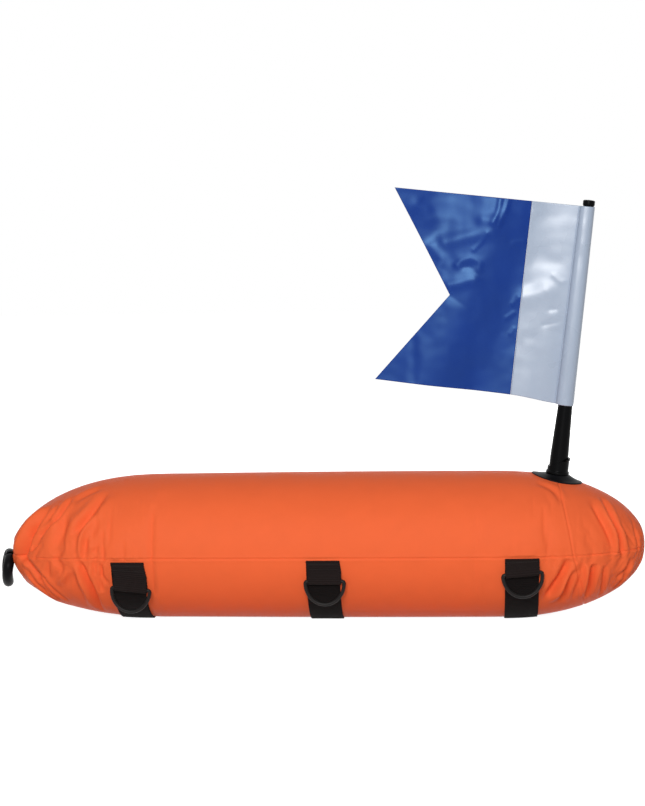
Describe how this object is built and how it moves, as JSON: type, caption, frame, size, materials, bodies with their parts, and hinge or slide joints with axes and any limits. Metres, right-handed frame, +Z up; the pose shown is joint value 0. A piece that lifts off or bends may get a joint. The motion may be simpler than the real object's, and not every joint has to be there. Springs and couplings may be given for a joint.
{
  "type": "dive flag float",
  "caption": "Inflatable torpedo-shaped surface float with belly straps and D-rings, a tow loop, and a swallow-tailed flag on a pull-out mast, towed to mark a diver's place.",
  "frame": {"origin": "on the resting plane, under the middle of the whole object's bounding box", "axes": "+X from the tow loop at the bow to the stern, +Y to the side with the zip, +Z up the mast's side"},
  "size_m": [1.0044, 0.2451, 0.6537],
  "materials": {
    "orange_fabric": "coated nylon, soft sheen, pleated at both ends",
    "bladder_vinyl": "smooth vinyl film",
    "black_webbing": "woven polypropylene webbing",
    "ring_plastic": "satin moulded nylon",
    "black_rubber": "satin moulded rubber",
    "mast_plastic": "semi-gloss tapered tube",
    "flag_white": "glossy vinyl sheet",
    "flag_blue": "glossy vinyl sheet",
    "zip_nylon": "woven tape with nylon coil",
    "zip_metal": "satin plated zinc"
  },
  "bodies": {
    "float": {"cover_upper_panel": "orange_fabric", "cover_lower_panel": "orange_fabric", "tail_upper_panel": "orange_fabric", "tail_lower_panel": "orange_fabric", "bladder": "bladder_vinyl", "valve_body": "black_rubber", "bow_strap": "black_webbing", "middle_strap": "black_webbing", "stern_strap": "black_webbing", "bow_near_keeper": "black_webbing", "bow_far_keeper": "black_webbing", "middle_near_keeper": "black_webbing", "middle_far_keeper": "black_webbing", "stern_near_keeper": "black_webbing", "stern_far_keeper": "black_webbing", "nose_anchor": "black_rubber", "mast_foot_flange": "black_rubber", "mast_socket": "mast_plastic", "zip_upper_tape": "zip_nylon", "zip_lower_tape": "zip_nylon", "zip_upper_coil": "zip_nylon", "zip_lower_coil": "zip_nylon", "zip_bow_stop": "zip_metal", "zip_stern_stop": "zip_metal"},
    "mast": {"mast_tube": "mast_plastic", "mast_cap": "mast_plastic", "mast_plug": "black_rubber"},
    "flag": {"flag_white_panel": "flag_white", "flag_blue_panel": "flag_blue"},
    "tow_loop": {"tow_core": "black_webbing", "tow_grip": "black_rubber"},
    "bow_near_d_ring": {"bow_near_ring": "ring_plastic"},
    "bow_far_d_ring": {"bow_far_ring": "ring_plastic"},
    "middle_near_d_ring": {"middle_near_ring": "ring_plastic"},
    "middle_far_d_ring": {"middle_far_ring": "ring_plastic"},
    "stern_near_d_ring": {"stern_near_ring": "ring_plastic"},
    "stern_far_d_ring": {"stern_far_ring": "ring_plastic"},
    "slider": {"zip_slider": "zip_metal"},
    "pull": {"zip_pull": "black_rubber"},
    "plug": {"valve_plug": "black_rubber"}
  },
  "joints": [
    {"name": "mast_lift", "type": "slide", "parent": "float", "child": "mast", "axis": [0.1184, 0, 0.993], "range_m": [0, 0.035]},
    {"name": "flag_swing", "type": "hinge", "parent": "mast", "child": "flag", "pos_m": [0.36705, 0, 0.21213], "axis": [0.1184, 0, 0.993], "continuous": true},
    {"name": "tow_loop_swing", "type": "hinge", "parent": "float", "child": "tow_loop", "pos_m": [-0.48495, 0, 0.0955], "axis": [-0.2605, 0.9655, 0], "range_deg": [-10, 130]},
    {"name": "bow_near_ring_swing", "type": "hinge", "parent": "float", "child": "bow_near_d_ring", "pos_m": [-0.27367, -0.10865, 0.063], "axis": [-0.9952, 0.0032, 0.0983], "range_deg": [-25, 110]},
    {"name": "bow_far_ring_swing", "type": "hinge", "parent": "float", "child": "bow_far_d_ring", "pos_m": [-0.27774, 0.10864, 0.0634], "axis": [0.9991, 0.0401, -0.0097], "range_deg": [-25, 150]},
    {"name": "middle_near_ring_swing", "type": "hinge", "parent": "float", "child": "middle_near_d_ring", "pos_m": [0.01853, -0.11505, 0.07519], "axis": [-1, 0.002, 0.0006], "range_deg": [-25, 145]},
    {"name": "middle_far_ring_swing", "type": "hinge", "parent": "float", "child": "middle_far_d_ring", "pos_m": [0.01603, 0.11505, 0.0752], "axis": [1, 0.002, -0.0006], "range_deg": [-25, 150]},
    {"name": "stern_near_ring_swing", "type": "hinge", "parent": "float", "child": "stern_near_d_ring", "pos_m": [0.30996, -0.11631, 0.08632], "axis": [-0.9958, -0.0453, -0.0797], "range_deg": [-20, 150]},
    {"name": "stern_far_ring_swing", "type": "hinge", "parent": "float", "child": "stern_far_d_ring", "pos_m": [0.30996, 0.11631, 0.08632], "axis": [0.9982, -0.0586, 0.0112], "range_deg": [-20, 150]},
    {"name": "zip_slide", "type": "slide", "parent": "float", "child": "slider", "axis": [1, 0, 0], "range_m": [0, 0.179]},
    {"name": "zip_pull_swing", "type": "hinge", "parent": "slider", "child": "pull", "pos_m": [0.07309, 0.12073, 0.1085], "axis": [1, 0, 0], "range_deg": [-5, 150]},
    {"name": "valve_plug_twist", "type": "hinge", "parent": "float", "child": "plug", "pos_m": [0.1628, 0.10783, 0.13538], "axis": [0.002, 0.9703, 0.2419], "range_deg": [0, 90]}
  ]
}
